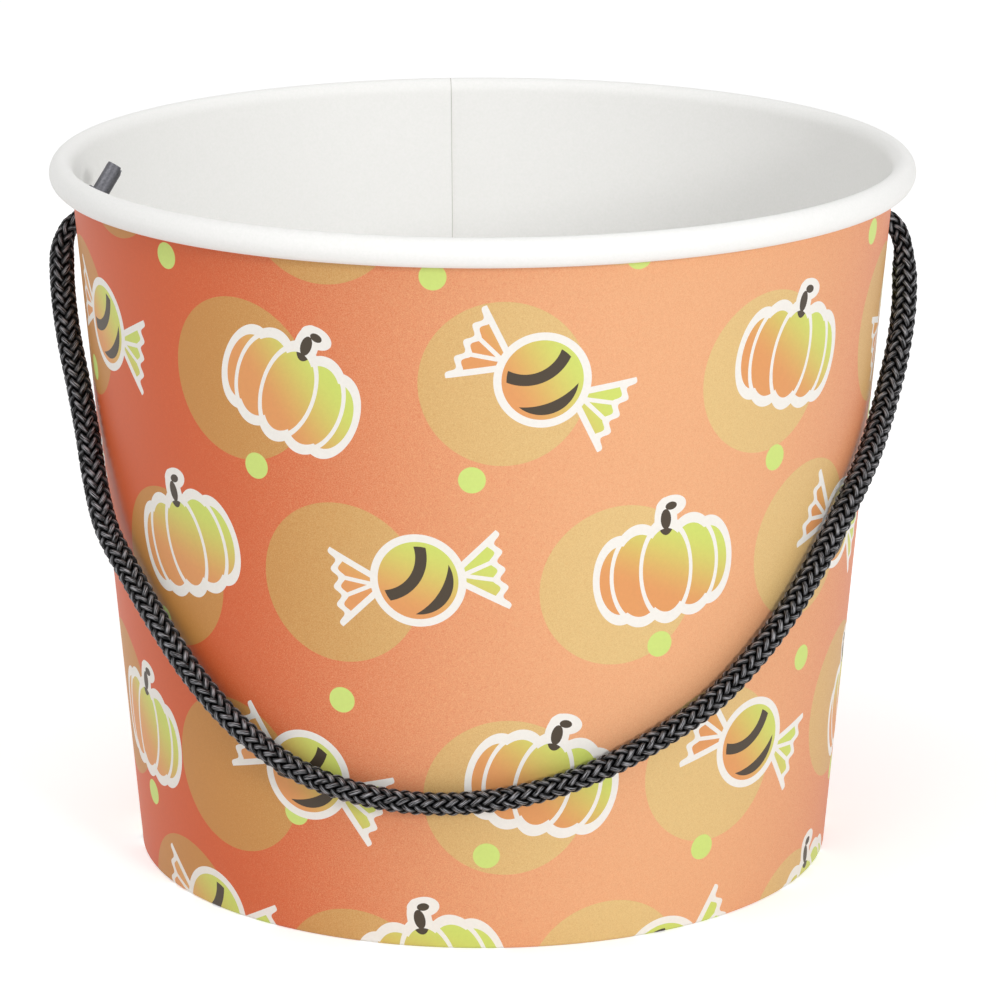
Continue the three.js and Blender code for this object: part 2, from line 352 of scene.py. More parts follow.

# %% [markdown]
# ## The pieces of the cord
#
# On the bucket the middle of the cord swings as one loop. Near the holes it has to go round the
# rolled rim, so each end is pushed outwards a little as the handle comes up. Here the necks and the
# halves of the loop only have their places put into their meshes, and the plain CAD pieces of the
# rope are hidden.


def bend_cord(neck, half):
    """Puts the places of the neck and the half of one side into their meshes."""
    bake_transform(neck)
    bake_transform(half)


bend_cord(neck_left, rope_left)
bend_cord(neck_right, rope_right)
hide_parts("rope_left_end")
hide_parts("rope_right_end")
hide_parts("rope_loop")
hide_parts("rope_loop")

# %% [markdown]
# ## Modelling helpers
#
# The paper pieces are surfaces of revolution, and they are made here the way a potter pulls a
# wall: a ring of edges is extruded upwards a little at a time, and each new ring is scaled to its
# radius. That keeps even quads all the way round, which a boolean or a lathe of triangles would
# not. Every operator acts on what is selected, so each helper clears the selection first.

# %% Helpers for edit mode
SIDES = 240
SMOOTH_ANGLE = math.radians(40)


def only(piece):
    """Selects this object and no other, and makes it active."""
    bpy.ops.object.select_all(action="DESELECT")
    piece.select_set(True)
    bpy.context.view_layer.objects.active = piece


def edit(piece, mode="VERT"):
    """Opens a piece in edit mode with nothing selected."""
    only(piece)
    bpy.ops.object.mode_set(mode="EDIT")
    bpy.ops.mesh.select_mode(type=mode)
    bpy.ops.mesh.select_all(action="DESELECT")


def leave_edit():
    """Closes edit mode, which writes the edits to the mesh."""
    bpy.ops.object.mode_set(mode="OBJECT")


def settle(piece):
    """Puts the object's place and turn into its mesh."""
    only(piece)
    bpy.ops.object.transform_apply(location=True, rotation=True, scale=True)


def finish_with(piece, kind, **settings):
    """Adds a modifier with these settings and applies it."""
    only(piece)
    modifier = piece.modifiers.new(kind.title(), kind)
    for key, value in settings.items():
        setattr(modifier, key, value)
    bpy.ops.object.modifier_apply(modifier=modifier.name)


def sheet_of_revolution(name, path):
    """A thin sheet through rings: path holds (radius, height) from one edge to the other."""
    bpy.ops.object.select_all(action="DESELECT")
    radius, height = path[0]
    bpy.ops.mesh.primitive_circle_add(vertices=SIDES, radius=radius, location=(0, 0, height))
    piece = bpy.context.object
    piece.name = piece.data.name = name
    settle(piece)
    edit(piece, "EDGE")
    bpy.ops.mesh.select_all(action="SELECT")
    for (r0, z0), (r1, z1) in zip(path, path[1:]):
        bpy.ops.mesh.extrude_edges_move(TRANSFORM_OT_translate={"value": (0, 0, z1 - z0)})
        bpy.ops.transform.resize(value=(r1 / r0, r1 / r0, 1), center_override=(0, 0, 0))
    bpy.ops.mesh.select_all(action="SELECT")
    bpy.ops.mesh.normals_make_consistent(inside=False)
    leave_edit()
    return piece


def arc(centre, radii, start, end, steps):
    """(radius, height) points on part of an ellipse between two angles in degrees."""
    points = []
    for k in range(steps + 1):
        a = math.radians(start + (end - start) * k / steps)
        x, z = radii[0] * math.cos(a), radii[1] * math.sin(a)
        points.append((centre[0] + x, centre[1] + z))
    return points


# %% [markdown]
# ## The printed wall
#
# One sheet makes the cone, the folded foot and the rolled rim. Its outer face is printed and its
# inner face is white, so where the rim curls outwards the white face comes to the outside. The
# sheet is pulled up along its middle line and then thickened. Its normals face the axis, so the
# inner face keeps the first material, and the thickening gives the outer face and the cut edges
# materials of their own.

# %% Sizes of the wall
BOARD = 0.55 * MM
FIT = 0.3 * MM
HEIGHT = 149.0 * MM
RIM_RADIUS = 90.0 * MM
FOOT_RADIUS = 73.4 * MM
ROLL_WIDTH = 5.0 * MM
ROLL_HEIGHT = 6.3 * MM
ROLL_GAP = 0.35 * MM
ROLL_TURN = 396
ROLL_STEP = 9
BASE_HEIGHT = 10.4 * MM
FOLD_HEIGHT = 8.6 * MM
FOLD_ROWS = (1.0, 0.6, 0.3)
FOOT_CORNER = 0.45 * MM
CORNER_STEPS = 4
WALL_ROWS = 16
ROLL_CENTRE = (RIM_RADIUS - ROLL_WIDTH / 2, HEIGHT - ROLL_HEIGHT / 2)


def outer_radius(z):
    """Radius of the wall's outer face at a height."""
    top = RIM_RADIUS - ROLL_WIDTH + BOARD
    return FOOT_RADIUS + (top - FOOT_RADIUS) * z / ROLL_CENTRE[1]


def fold_radius(z):
    """Radius of the middle of the fold inside the foot."""
    return outer_radius(z) - 2 * BOARD - 2 * FIT - BOARD / 2


def roll_point(turn):
    """A point of the sheet's middle line after the rim has curled through this many degrees."""
    drawn_in = (BOARD + ROLL_GAP) * max(0, (turn - 180) / 180) + BOARD / 2
    radii = (ROLL_WIDTH / 2 - drawn_in, ROLL_HEIGHT / 2 - drawn_in)
    return arc(ROLL_CENTRE, radii, 180 - turn, 180 - turn, 1)[0]


def wall_path():
    """The middle line of the sheet, from the cut edge in the foot to the one in the rim."""
    half = BOARD / 2
    corner = (FOOT_CORNER, FOOT_CORNER)
    low = half + FOOT_CORNER
    inner, outer = fold_radius(low) + FOOT_CORNER, outer_radius(low) - half - FOOT_CORNER
    path = [(fold_radius(share * FOLD_HEIGHT), share * FOLD_HEIGHT) for share in FOLD_ROWS]
    path += arc((inner, low), corner, 180, 270, CORNER_STEPS)
    path += arc((outer, low), corner, 270, 360, CORNER_STEPS)
    for row in range(1, WALL_ROWS):
        z = low + (ROLL_CENTRE[1] - low) * row / WALL_ROWS
        path.append((outer_radius(z) - half, z))
    path += [roll_point(turn) for turn in range(0, ROLL_TURN + 1, ROLL_STEP)]
    return path


# %% Pull up the wall and give it its thickness
INNER_FACE, OUTER_FACE, CUT_EDGE = range(3)
wall = sheet_of_revolution("printed_wall", wall_path())
for _ in (INNER_FACE, OUTER_FACE, CUT_EDGE):
    wall.data.materials.append(None)
finish_with(
    wall,
    "SOLIDIFY",
    thickness=BOARD,
    offset=0,
    use_even_offset=True,
    material_offset=OUTER_FACE,
    material_offset_rim=CUT_EDGE,
)
print(f"wall: {len(wall.data.polygons)} faces")

# %% [markdown]
# ## The glued seam
#
# The two ends of the sheet lap by a finger's width at the back, where the inner face shows a
# step that runs from the floor to the rim. Cuts through the shell at the two edges of the lap
# give the step a crisp corner. Then the faces behind each edge are pushed out by almost the
# thickness of the board, and let back in over a few degrees.

# %% Lap the two ends at the back
SEAM_ANGLE = 95.0
LAP_WIDTH = 8.5 * MM
LAP_RISE = 0.45 * MM
LAP_RAMP = 4.0
LAP_EDGE = 0.1
LAP_FADE = 4.0 * MM
CUT_REACH = 15
CUT_MERGE = 1e-7
lap_end = SEAM_ANGLE + math.degrees(LAP_WIDTH / outer_radius(HEIGHT / 2))
lap_top = HEIGHT - ROLL_HEIGHT


def azimuth(point):
    """The angle round the tub, from 0 to 360 degrees."""
    return math.degrees(math.atan2(point.y, point.x)) % 360


def select_where(piece, test):
    """Selects the vertices of an open piece whose places pass the test."""
    bpy.ops.object.mode_set(mode="OBJECT")
    for vertex in piece.data.vertices:
        vertex.select = test(vertex.co)
    bpy.ops.object.mode_set(mode="EDIT")


def cut_behind(piece, angle):
    """Cuts the back of the wall along a plane through its axis."""
    select_where(piece, lambda p: p.y > 0 and abs(azimuth(p) - SEAM_ANGLE) < CUT_REACH)
    a = math.radians(angle)
    bpy.ops.mesh.bisect(
        plane_co=(0, 0, 0),
        plane_no=(-math.sin(a), math.cos(a), 0),
        threshold=CUT_MERGE,
    )


edit(wall)
for angle in (SEAM_ANGLE - LAP_EDGE, SEAM_ANGLE, lap_end - LAP_EDGE, lap_end):
    cut_behind(wall, angle)
leave_edit()


def lap_share(point, last_angle):
    """How far out the lap pushes a point, as a share of its full rise."""
    angle = azimuth(point)
    if not SEAM_ANGLE - LAP_RAMP < angle < last_angle - LAP_EDGE / 2:
        return 0
    ramp = (angle - SEAM_ANGLE + LAP_RAMP) / (LAP_RAMP - LAP_EDGE)
    fade = min((point.z - BASE_HEIGHT) / LAP_FADE, (lap_top - point.z) / LAP_FADE)
    return min(1, ramp) * min(1, max(0, fade))


for vertex in wall.data.vertices:
    place = vertex.co
    radius = math.hypot(place.x, place.y)
    if place.y < 0 or place.z > lap_top or radius < outer_radius(place.z) - BOARD * 1.5:
        continue
    is_inner = radius < outer_radius(place.z) - BOARD / 2
    share = lap_share(place, SEAM_ANGLE if is_inner else lap_end)
    grown = 1 + share * LAP_RISE / radius
    vertex.co = (place.x * grown, place.y * grown, place.z)
wall.data.update()

# %% [markdown]
# ## The punched holes
#
# A punch leaves a clean round hole with a white cut edge and the faintest raised burr. A boolean
# with a cylinder along the line through both holes is the same operation.

# %% Punch the holes
HOLE_RADIUS = 3.43 * MM
HOLE_SIDES = 48
bpy.ops.object.select_all(action="DESELECT")
bpy.ops.mesh.primitive_cylinder_add(
    vertices=HOLE_SIDES,
    radius=HOLE_RADIUS,
    depth=2 * RIM_RADIUS + ROLL_WIDTH,
    location=(0, 0, HOLE_HEIGHT),
    rotation=(0, math.pi / 2, 0),
)
punch = bpy.context.object
settle(punch)
finish_with(wall, "BOOLEAN", operation="DIFFERENCE", solver="EXACT", object=punch)
bpy.data.objects.remove(punch)
for face in wall.data.polygons:
    from_axis = math.hypot(face.center.y, face.center.z - HOLE_HEIGHT)
    if from_axis < HOLE_RADIUS + 0.01 * MM and abs(face.center.x) > FOOT_RADIUS:
        face.material_index = CUT_EDGE
only(wall)
bpy.ops.object.shade_smooth_by_angle(angle=SMOOTH_ANGLE)

# %% [markdown]
# ## The base disc
#
# A disc of the same board closes the tub. Its edge is turned down into a skirt that stands in the
# folded foot, so the disc lies a centimetre above the table. It is pulled inwards from the skirt
# to the centre, where the last small ring is filled.

# %% Base disc
SKIRT_ROWS = (1.05 * MM, 3.0 * MM, 6.0 * MM)
SKIRT_CORNER = 0.9 * MM
SKIRT_CORNER_STEPS = 5
FLOOR_RINGS = (60 * MM, 40 * MM, 20 * MM, 6 * MM, 1 * MM)


def disc_path():
    """The middle line of the disc from the foot of its skirt to near its centre."""
    half = BOARD / 2
    floor = BASE_HEIGHT - half
    turn = floor - SKIRT_CORNER

    def skirt(z):
        return outer_radius(z) - BOARD - FIT - half

    path = [(skirt(z), z) for z in SKIRT_ROWS]
    centre = (skirt(turn) - SKIRT_CORNER, turn)
    path += arc(centre, (SKIRT_CORNER, SKIRT_CORNER), 0, 90, SKIRT_CORNER_STEPS)
    path += [(radius, floor) for radius in FLOOR_RINGS]
    return path


disc = sheet_of_revolution("floor_disc", disc_path())
edit(disc)
select_where(disc, lambda p: math.hypot(p.x, p.y) < 2 * FLOOR_RINGS[-1])
bpy.ops.mesh.edge_face_add()
bpy.ops.mesh.select_all(action="SELECT")
bpy.ops.mesh.normals_make_consistent(inside=False)
leave_edit()
finish_with(disc, "SOLIDIFY", thickness=BOARD, offset=0, use_even_offset=True)
only(disc)
bpy.ops.object.shade_smooth_by_angle(angle=SMOOTH_ANGLE)

# %% [markdown]
# ## The end clips
#
# Each end of the cord is crimped in a small steel sleeve with a cross bar that cannot pass through
# the hole. The CAD pieces already have the right form, so a copy of each is merged, freed of its
# flat inner edges and given the fine rounded edges that stamped and tumbled steel has.

# %% Round the edges of the clips
CLIP_EDGE = 0.09 * MM
CLIP_MERGE = 1e-6
FLAT_WITHIN = math.radians(1)
SHARP_FROM = math.radians(50)
CLIP_SMOOTH_ANGLE = math.radians(30)
clips = []
for node in ("left_end_clip", "right_end_clip"):
    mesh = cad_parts[node].data.copy()
    clip = bpy.data.objects.new(node + "_crimped", mesh)
    mesh.name = clip.name
    bpy.context.collection.objects.link(clip)
    edit(clip)
    bpy.ops.mesh.select_all(action="SELECT")
    bpy.ops.mesh.remove_doubles(threshold=CLIP_MERGE)
    bpy.ops.mesh.dissolve_limited(angle_limit=FLAT_WITHIN)
    leave_edit()
    finish_with(
        clip,
        "BEVEL",
        width=CLIP_EDGE,
        segments=2,
        limit_method="ANGLE",
        angle_limit=SHARP_FROM,
    )
    bpy.ops.object.shade_smooth_by_angle(angle=CLIP_SMOOTH_ANGLE)
    clips.append(clip)

# %% Say what each paper and steel piece moves with
for piece, node, body, slot in (
    (wall, "side_wall", "tub", "printed_board"),
    (disc, "base_disc", "tub", "white_board"),
    (clips[0], "left_end_clip", "handle", "dark_steel"),
    (clips[1], "right_end_clip", "handle", "dark_steel"),
):
    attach(piece, body)
    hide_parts(node)

# %% [markdown]
# ## Materials: one helper
#
# A material is a small network of nodes. The helper adds one node, sets what is named, and links
# or fills its inputs in order, so that a pattern reads like a sum. Colours are written as the
# hex values that one would pick on a screen and are turned to linear light once, here.

# %% Helpers for materials
MATH = "ShaderNodeMath"
VECTOR = "ShaderNodeVectorMath"
JOIN = "ShaderNodeCombineXYZ"
SPLIT = "ShaderNodeSeparateXYZ"
MIX = "ShaderNodeMix"
NOISE = "ShaderNodeTexNoise"
RAMP = "ShaderNodeMapRange"


def linear(hex_colour):
    """A hex sRGB colour as linear red, green, blue and alpha."""
    values = []
    for k in (1, 3, 5):
        c = int(hex_colour[k:k + 2], 16) / 255
        values.append(c / 12.92 if c <= 0.04045 else ((c + 0.055) / 1.055) ** 2.4)
    return (*values, 1)


def add(tree, kind, *inputs, use=0, **settings):
    """Adds a node, fills its inputs in order with links or values, and returns one output."""
    node = tree.nodes.new(kind)
    for key, value in settings.items():
        setattr(node, key, value)
    sockets = [s for s in node.inputs if s.enabled]
    for socket, value in zip(sockets, inputs):
        if isinstance(value, bpy.types.NodeSocket):
            tree.links.new(value, socket)
        elif value is not None:
            socket.default_value = value
    return [s for s in node.outputs if s.enabled][use]


def material(name, colour="#ffffff", **sockets):
    """A new material with one Principled shader: its node tree and that shader."""
    made = bpy.data.materials.new(name)
    made.use_nodes = True
    shader = made.node_tree.nodes["Principled BSDF"]
    shader.inputs["Base Color"].default_value = linear(colour)
    for socket, value in sockets.items():
        shader.inputs[socket.replace("_", " ")].default_value = value
    return made, made.node_tree, shader


def place_of(tree):
    """Object coordinates in millimetres, as a vector and as its three parts."""
    coordinates = tree.nodes.new("ShaderNodeTexCoord").outputs["Object"]
    place = add(tree, VECTOR, coordinates, 1 / MM, operation="SCALE")
    parts = tree.nodes.new(SPLIT)
    tree.links.new(place, parts.inputs[0])
    return place, *parts.outputs


# %% [markdown]
# ## The print: where each motif goes
#
# The design is printed on the flat sheet, so its motifs keep their size from foot to rim and
# break off at the glued seam. The angle round the tub, measured from the seam, and the height
# become a grid of cells. Every second row is shifted by half a cell, and white noise, which gives
# each cell its own fixed values, moves and turns the motif in it so that no two look alike.

# %% Cells round the tub
COLUMNS = 9.4
ROW_HEIGHT = 41.0
MOTIF_SCALE = 0.8
SWEET_SCALE = 1.15
MOTIF_SHIFT = (0.36, 0.58)
DISC_SHIFT = (0.57, 0.66)
DOT_SHIFT = (0.95, 0.05)
MOTIF_JITTER = (0.16, 0.15, 1.05)
DISC_JITTER = (0.22, 0.16, 0)
DOT_JITTER = (0.4, 0.4, 0)
MOTIF_SEED = 5.0
DISC_SEED = 11.0
DOT_SEED = 23.0


def cells(tree, x, y, z, shift, jitter, seed):
    """Place in millimetres from the middle of a motif's cell, turned with it, and its number."""
    angle = add(tree, MATH, y, x, operation="ARCTAN2")
    from_seam = add(tree, MATH, angle, -math.radians(lap_end), operation="ADD")
    turned = add(tree, MATH, from_seam, 2 * math.pi, operation="FLOORED_MODULO")
    rows = add(tree, MATH, z, 1 / ROW_HEIGHT, shift[1], operation="MULTIPLY_ADD")
    row = add(tree, MATH, rows, operation="FLOOR")
    columns = add(tree, MATH, turned, COLUMNS / (2 * math.pi), shift[0], operation="MULTIPLY_ADD")
    staggered = add(tree, MATH, row, 0.5, columns, operation="MULTIPLY_ADD")
    grid = add(tree, JOIN, staggered, rows, 0)
    number = add(tree, VECTOR, grid, operation="FLOOR")
    chance = add(
        tree,
        "ShaderNodeTexWhiteNoise",
        add(tree, VECTOR, number, (seed, seed, seed), operation="ADD"),
        use=1,
        noise_dimensions="3D",
    )
    centred = add(tree, VECTOR, chance, (0.5, 0.5, 0.5), operation="SUBTRACT")
    moved = add(tree, VECTOR, centred, jitter, operation="MULTIPLY")
    inside = add(tree, VECTOR, grid, operation="FRACTION")
    middle = add(tree, VECTOR, inside, (0.5, 0.5, 0), operation="SUBTRACT")
    local = add(tree, VECTOR, middle, moved, operation="SUBTRACT")
    radius = add(tree, VECTOR, add(tree, JOIN, x, y, 0), operation="LENGTH")
    width = add(tree, MATH, radius, 2 * math.pi / COLUMNS, operation="MULTIPLY")
    scale = add(tree, JOIN, width, ROW_HEIGHT, 0)
    place = add(tree, VECTOR, local, scale, operation="MULTIPLY")
    turn = add(tree, SPLIT, moved, use=2)
    turned_place = add(tree, "ShaderNodeVectorRotate", place, None, None, turn)
    return turned_place, number


# %% [markdown]
# ## The print: the motifs
#
# Each motif is drawn by distances. An oval's distance is below zero inside it and above zero
# outside, the smaller of two distances joins two shapes, and a thin band round zero is an
# outline. A pumpkin is five ovals and a stem. A wrapped sweet is a disc with two pleated fans.
# The numbers in both drawings are millimetres from the middle of the motif.

# %% Shapes
LINE = 0.86
THIN_LINE = 0.5


def mirrored(tree, place):
    """The place with its left half folded onto the right."""
    parts = [add(tree, SPLIT, place, use=k) for k in (0, 1)]
    return add(tree, JOIN, add(tree, MATH, parts[0], operation="ABSOLUTE"), parts[1], 0)


def oval(tree, place, centre, size):
    """Distance from an oval's edge, nearly in millimetres."""
    local = add(tree, VECTOR, place, (*centre, 0), operation="SUBTRACT")
    scaled = add(tree, VECTOR, local, (*size, 1), operation="DIVIDE")
    reach = add(tree, VECTOR, scaled, operation="LENGTH")
    small = min(size)
    return add(tree, MATH, reach, small, -small, operation="MULTIPLY_ADD")


def band(tree, distance, half_width):
    """One where the distance is within half_width of zero."""
    size = add(tree, MATH, distance, operation="ABSOLUTE")
    return add(tree, MATH, size, half_width, operation="LESS_THAN")


def all_of(tree, *masks):
    """Where every one of the masks is one."""
    made = masks[0]
    for mask in masks[1:]:
        made = add(tree, MATH, made, mask, operation="MULTIPLY")
    return made


def any_of(tree, *masks):
    """Where one of the masks is one, or for distances, the shape that they have in common."""
    made = masks[0]
    for mask in masks[1:]:
        made = add(tree, MATH, made, mask, operation="MAXIMUM")
    return made


def union(tree, *distances):
    """The distance to the nearest of several shapes."""
    made = distances[0]
    for distance in distances[1:]:
        made = add(tree, MATH, made, distance, operation="MINIMUM")
    return made


def pumpkin(tree, place):
    """The masks of a pumpkin: its outline with the ribs, its dark stem and its fill."""
    half = mirrored(tree, place)
    middle = oval(tree, half, (0, -2.2), (7.0, 12.6))
    beside = oval(tree, half, (7.2, -2.2), (7.6, 12.2))
    edge = oval(tree, half, (12.4, -2.4), (6.4, 10.4))
    body = union(tree, middle, beside, edge)
    stalk = oval(tree, place, (0.4, 11.2), (2.3, 4.2))
    tip = oval(tree, place, (2.0, 14.4), (2.9, 1.9))
    stem = union(tree, stalk, tip)
    whole = union(tree, body, stem)
    past_middle = add(tree, MATH, middle, 0, operation="GREATER_THAN")
    outer_ribs = all_of(tree, band(tree, beside, THIN_LINE), past_middle)
    ribs = any_of(tree, band(tree, middle, THIN_LINE), outer_ribs)
    off_stem = add(tree, MATH, stem, LINE, operation="GREATER_THAN")
    in_body = add(tree, MATH, body, 0, operation="LESS_THAN")
    ribs = all_of(tree, ribs, off_stem, in_body)
    outline = any_of(tree, ribs, band(tree, whole, LINE))
    dark = add(tree, MATH, stem, 0, operation="LESS_THAN")
    fill = add(tree, MATH, whole, 0, operation="LESS_THAN")
    return outline, dark, fill


def sweet(tree, place):
    """The masks of a wrapped sweet: its outline and pleats, its dark stripes and its fill."""
    half = mirrored(tree, place)
    across = add(tree, SPLIT, half, use=0)
    up = add(tree, SPLIT, half, use=1)
    height = add(tree, MATH, up, operation="ABSOLUTE")
    ball = oval(tree, place, (0, 0), (9.6, 9.6))
    fan_height = add(tree, MATH, across, 0.72, -5.0, operation="MULTIPLY_ADD")
    above = add(tree, MATH, height, fan_height, operation="SUBTRACT")
    waves = add(tree, MATH, add(tree, MATH, up, 1.55, operation="MULTIPLY"), operation="COSINE")
    far_edge = add(tree, MATH, waves, 0.7, 17.4, operation="MULTIPLY_ADD")
    past = add(tree, MATH, across, far_edge, operation="SUBTRACT")
    before = add(tree, MATH, 9.0, across, operation="SUBTRACT")
    fan = any_of(tree, above, past, before)
    whole = union(tree, ball, fan)
    slope = add(tree, MATH, across, 0.3, -2.9, operation="MULTIPLY_ADD")
    pleat = add(tree, MATH, height, slope, operation="SUBTRACT")
    in_fan = add(tree, MATH, fan, 0, operation="LESS_THAN")
    off_ball = add(tree, MATH, ball, 0.4, operation="GREATER_THAN")
    pleats = all_of(tree, band(tree, pleat, THIN_LINE), in_fan, off_ball)
    outline = any_of(tree, band(tree, whole, LINE), band(tree, ball, LINE), pleats)
    stripes = any_of(
        tree,
        *(band(tree, oval(tree, place, (-7.5, 6.5), (r, r)), 1.25) for r in (9.2, 16.4)),
    )
    in_ball = add(tree, MATH, ball, -1.9, operation="LESS_THAN")
    dark = all_of(tree, stripes, in_ball)
    fill = add(tree, MATH, whole, 0, operation="LESS_THAN")
    return outline, dark, fill


def chosen(tree, number, options):
    """Mixes two sets of masks by whether the cell's number is odd."""
    parts = [add(tree, SPLIT, number, use=k) for k in (0, 1)]
    total = add(tree, MATH, *parts, operation="ADD")
    odd = add(tree, MATH, total, 2, operation="FLOORED_MODULO")
    return [add(tree, MIX, odd, a, b, data_type="FLOAT") for a, b in zip(*options)]


def painted(tree, under, mask, colour):
    """A colour laid over another where the mask is one."""
    over = colour if isinstance(colour, bpy.types.NodeSocket) else linear(colour)
    return add(tree, MIX, mask, under, over, data_type="RGBA")


# %% [markdown]
# ## Material: offset-printed, varnished board
#
# The board is solid bleached pulp, offset-printed in flat, slightly translucent inks and sealed
# with a thin satin varnish. The ground runs from coral to light orange and back round the tub,
# and the amber discs, printed in a thin ink, follow it. Its lightest part faces the front right,
# where the key lamp stands, so besides the change of ink it holds painted light, lighter on the lit
# side and darker away from it. The varnish gives a broad soft shine, and the fibres under it show
# only as a faint mottle in the ink.

# %% Printed board
DISC_RADIUS = 16.6
DOT_RADIUS = 2.7
GROUND_WAVES = 1.5
ORANGE_AND_LIT_SIDE_AT = math.radians(300)
CLOUD_SIZE = 45.0
CLOUD_SHARE = 0.9
BLEND_FROM, BLEND_TO = -0.55, 1.5
LIME_SIDE = (0.5, 0.87, 0)
LIME_FROM, LIME_TO = -9.0, 11.0
FIBRE_SCALE = 1 / 0.55
# The light orange end of the ground and the light amber end of the discs hold painted light: they
# are the inks as lit from the front right.
CORAL, LIT_ORANGE = "#d55e2e", "#f0b787"
AMBER, LIT_AMBER = "#c88a45", "#e7c788"
FRUIT_ORANGE, FRUIT_LIME = "#e39c60", "#d0dc6c"
LIME = "#cfe27c"
BROWN = "#453a2c"
PAPER_WHITE = "#f3efe8"

printed, tree, shader = material(
    "offset_printed_board", Roughness=0.5, IOR=1.46, Specular_IOR_Level=0.45
)
place, x, y, z = place_of(tree)

# Painted light: the ground is lightest towards the key lamp at the front right and darker away from
# it, on top of the print's own change from coral to orange.
angle = add(tree, MATH, y, x, operation="ARCTAN2")
from_orange_lit_side = add(tree, MATH, angle, -ORANGE_AND_LIT_SIDE_AT + 2 * math.pi, operation="ADD")
wrapped = add(tree, MATH, from_orange_lit_side, math.pi, -math.pi, operation="WRAP")
wave = add(tree, MATH, wrapped, GROUND_WAVES, operation="MULTIPLY")
clouds = add(tree, NOISE, place, None, 1 / CLOUD_SIZE, 1.0, 0.4, noise_dimensions="3D")
cloudy = add(tree, MATH, clouds, CLOUD_SHARE, -CLOUD_SHARE / 2, operation="MULTIPLY_ADD")
swell = add(tree, MATH, add(tree, MATH, wave, operation="COSINE"), cloudy, operation="ADD")
ink_and_painted_light_blend = add(
    tree, RAMP, swell, BLEND_FROM, BLEND_TO, 0, 1, interpolation_type="SMOOTHSTEP"
)
ground = add(tree, MIX, ink_and_painted_light_blend, linear(CORAL), linear(LIT_ORANGE), data_type="RGBA")

disc_place, _ = cells(tree, x, y, z, DISC_SHIFT, DISC_JITTER, DISC_SEED)
disc_edge = oval(tree, disc_place, (0, 0), (DISC_RADIUS, DISC_RADIUS))
# Painted light: the discs follow the same run as the ground, painted lighter towards the key lamp
# and darker away from it.
lit_disc_ink = add(tree, MIX, ink_and_painted_light_blend, linear(AMBER), linear(LIT_AMBER), data_type="RGBA")
ink = painted(tree, ground, add(tree, MATH, disc_edge, 0, operation="LESS_THAN"), lit_disc_ink)

dot_place, _ = cells(tree, x, y, z, DOT_SHIFT, DOT_JITTER, DOT_SEED)
dot_edge = oval(tree, dot_place, (0, 0), (DOT_RADIUS, DOT_RADIUS))
ink = painted(tree, ink, add(tree, MATH, dot_edge, 0, operation="LESS_THAN"), LIME)

motif_place, number = cells(tree, x, y, z, MOTIF_SHIFT, MOTIF_JITTER, MOTIF_SEED)
motif_place = add(tree, VECTOR, motif_place, 1 / MOTIF_SCALE, operation="SCALE")
sweet_place = add(tree, VECTOR, motif_place, 1 / SWEET_SCALE, operation="SCALE")
outline, dark, fill = chosen(
    tree, number, (pumpkin(tree, motif_place), sweet(tree, sweet_place))
)
rise = add(tree, VECTOR, motif_place, LIME_SIDE, operation="DOT_PRODUCT")
lime = add(tree, RAMP, rise, LIME_FROM, LIME_TO, 0, 1, interpolation_type="SMOOTHSTEP")
fruit = add(tree, MIX, lime, linear(FRUIT_ORANGE), linear(FRUIT_LIME), data_type="RGBA")
ink = painted(tree, ink, fill, fruit)
ink = painted(tree, ink, dark, BROWN)
ink = painted(tree, ink, outline, PAPER_WHITE)

fibres = add(tree, NOISE, place, None, FIBRE_SCALE, 2.0, 0.5, noise_dimensions="3D")
mottle = add(tree, RAMP, fibres, 0.25, 0.75, 0.975, 1.02)
tinted = add(tree, VECTOR, ink, mottle, operation="SCALE")
tree.links.new(tinted, shader.inputs["Base Color"])

# %% [markdown]
# ## Material: white coated board
#
# The inside, the rolled rim and the disc show the unprinted side, a white clay coating on pulp.
# It is nearly matte, with the slightest warm tone and a fibre grain that only a close look finds.
# The end of the sheet shows as a hairline that runs down inside and on over the roll, where the
# curling die irons the lap flat. Where a punch or a knife went through, the pulp core shows,
# creamier and rougher.

# %% White board and its cut edge
SEAM_LINE = 0.1
SEAM_GREY = "#cdcbc5"
GRAIN_RELIEF = 0.02 * MM

white, tree, shader = material("clay_coated_white_board", Roughness=0.58, IOR=1.48)
place, x, y, z = place_of(tree)
fibres = add(tree, NOISE, place, None, FIBRE_SCALE, 4.0, 0.6, noise_dimensions="3D")
grain = add(tree, RAMP, fibres, 0.3, 0.7, 0.0, 1.0)
coat = add(tree, MIX, grain, linear("#f5f5f2"), linear("#f9f8f6"), data_type="RGBA")
seam = math.radians(SEAM_ANGLE)
beside = (-math.sin(seam), math.cos(seam), 0)
beside_seam = add(tree, VECTOR, place, beside, operation="DOT_PRODUCT")
line = band(tree, beside_seam, SEAM_LINE)
line = all_of(tree, line, add(tree, MATH, y, 0, operation="GREATER_THAN"))
coat = painted(tree, coat, line, SEAM_GREY)
tree.links.new(coat, shader.inputs["Base Color"])
relief = add(tree, "ShaderNodeBump", 0.06, GRAIN_RELIEF, None, grain)
tree.links.new(relief, shader.inputs["Normal"])

cut_edge, tree, shader = material("cut_pulp_edge", Roughness=0.85)
place, *_ = place_of(tree)
pulp = add(tree, NOISE, place, None, 3.0, 4.0, 0.7, noise_dimensions="3D")
core = add(tree, MIX, pulp, linear("#ddd5c6"), linear("#f1ede4"), data_type="RGBA")
tree.links.new(core, shader.inputs["Base Color"])

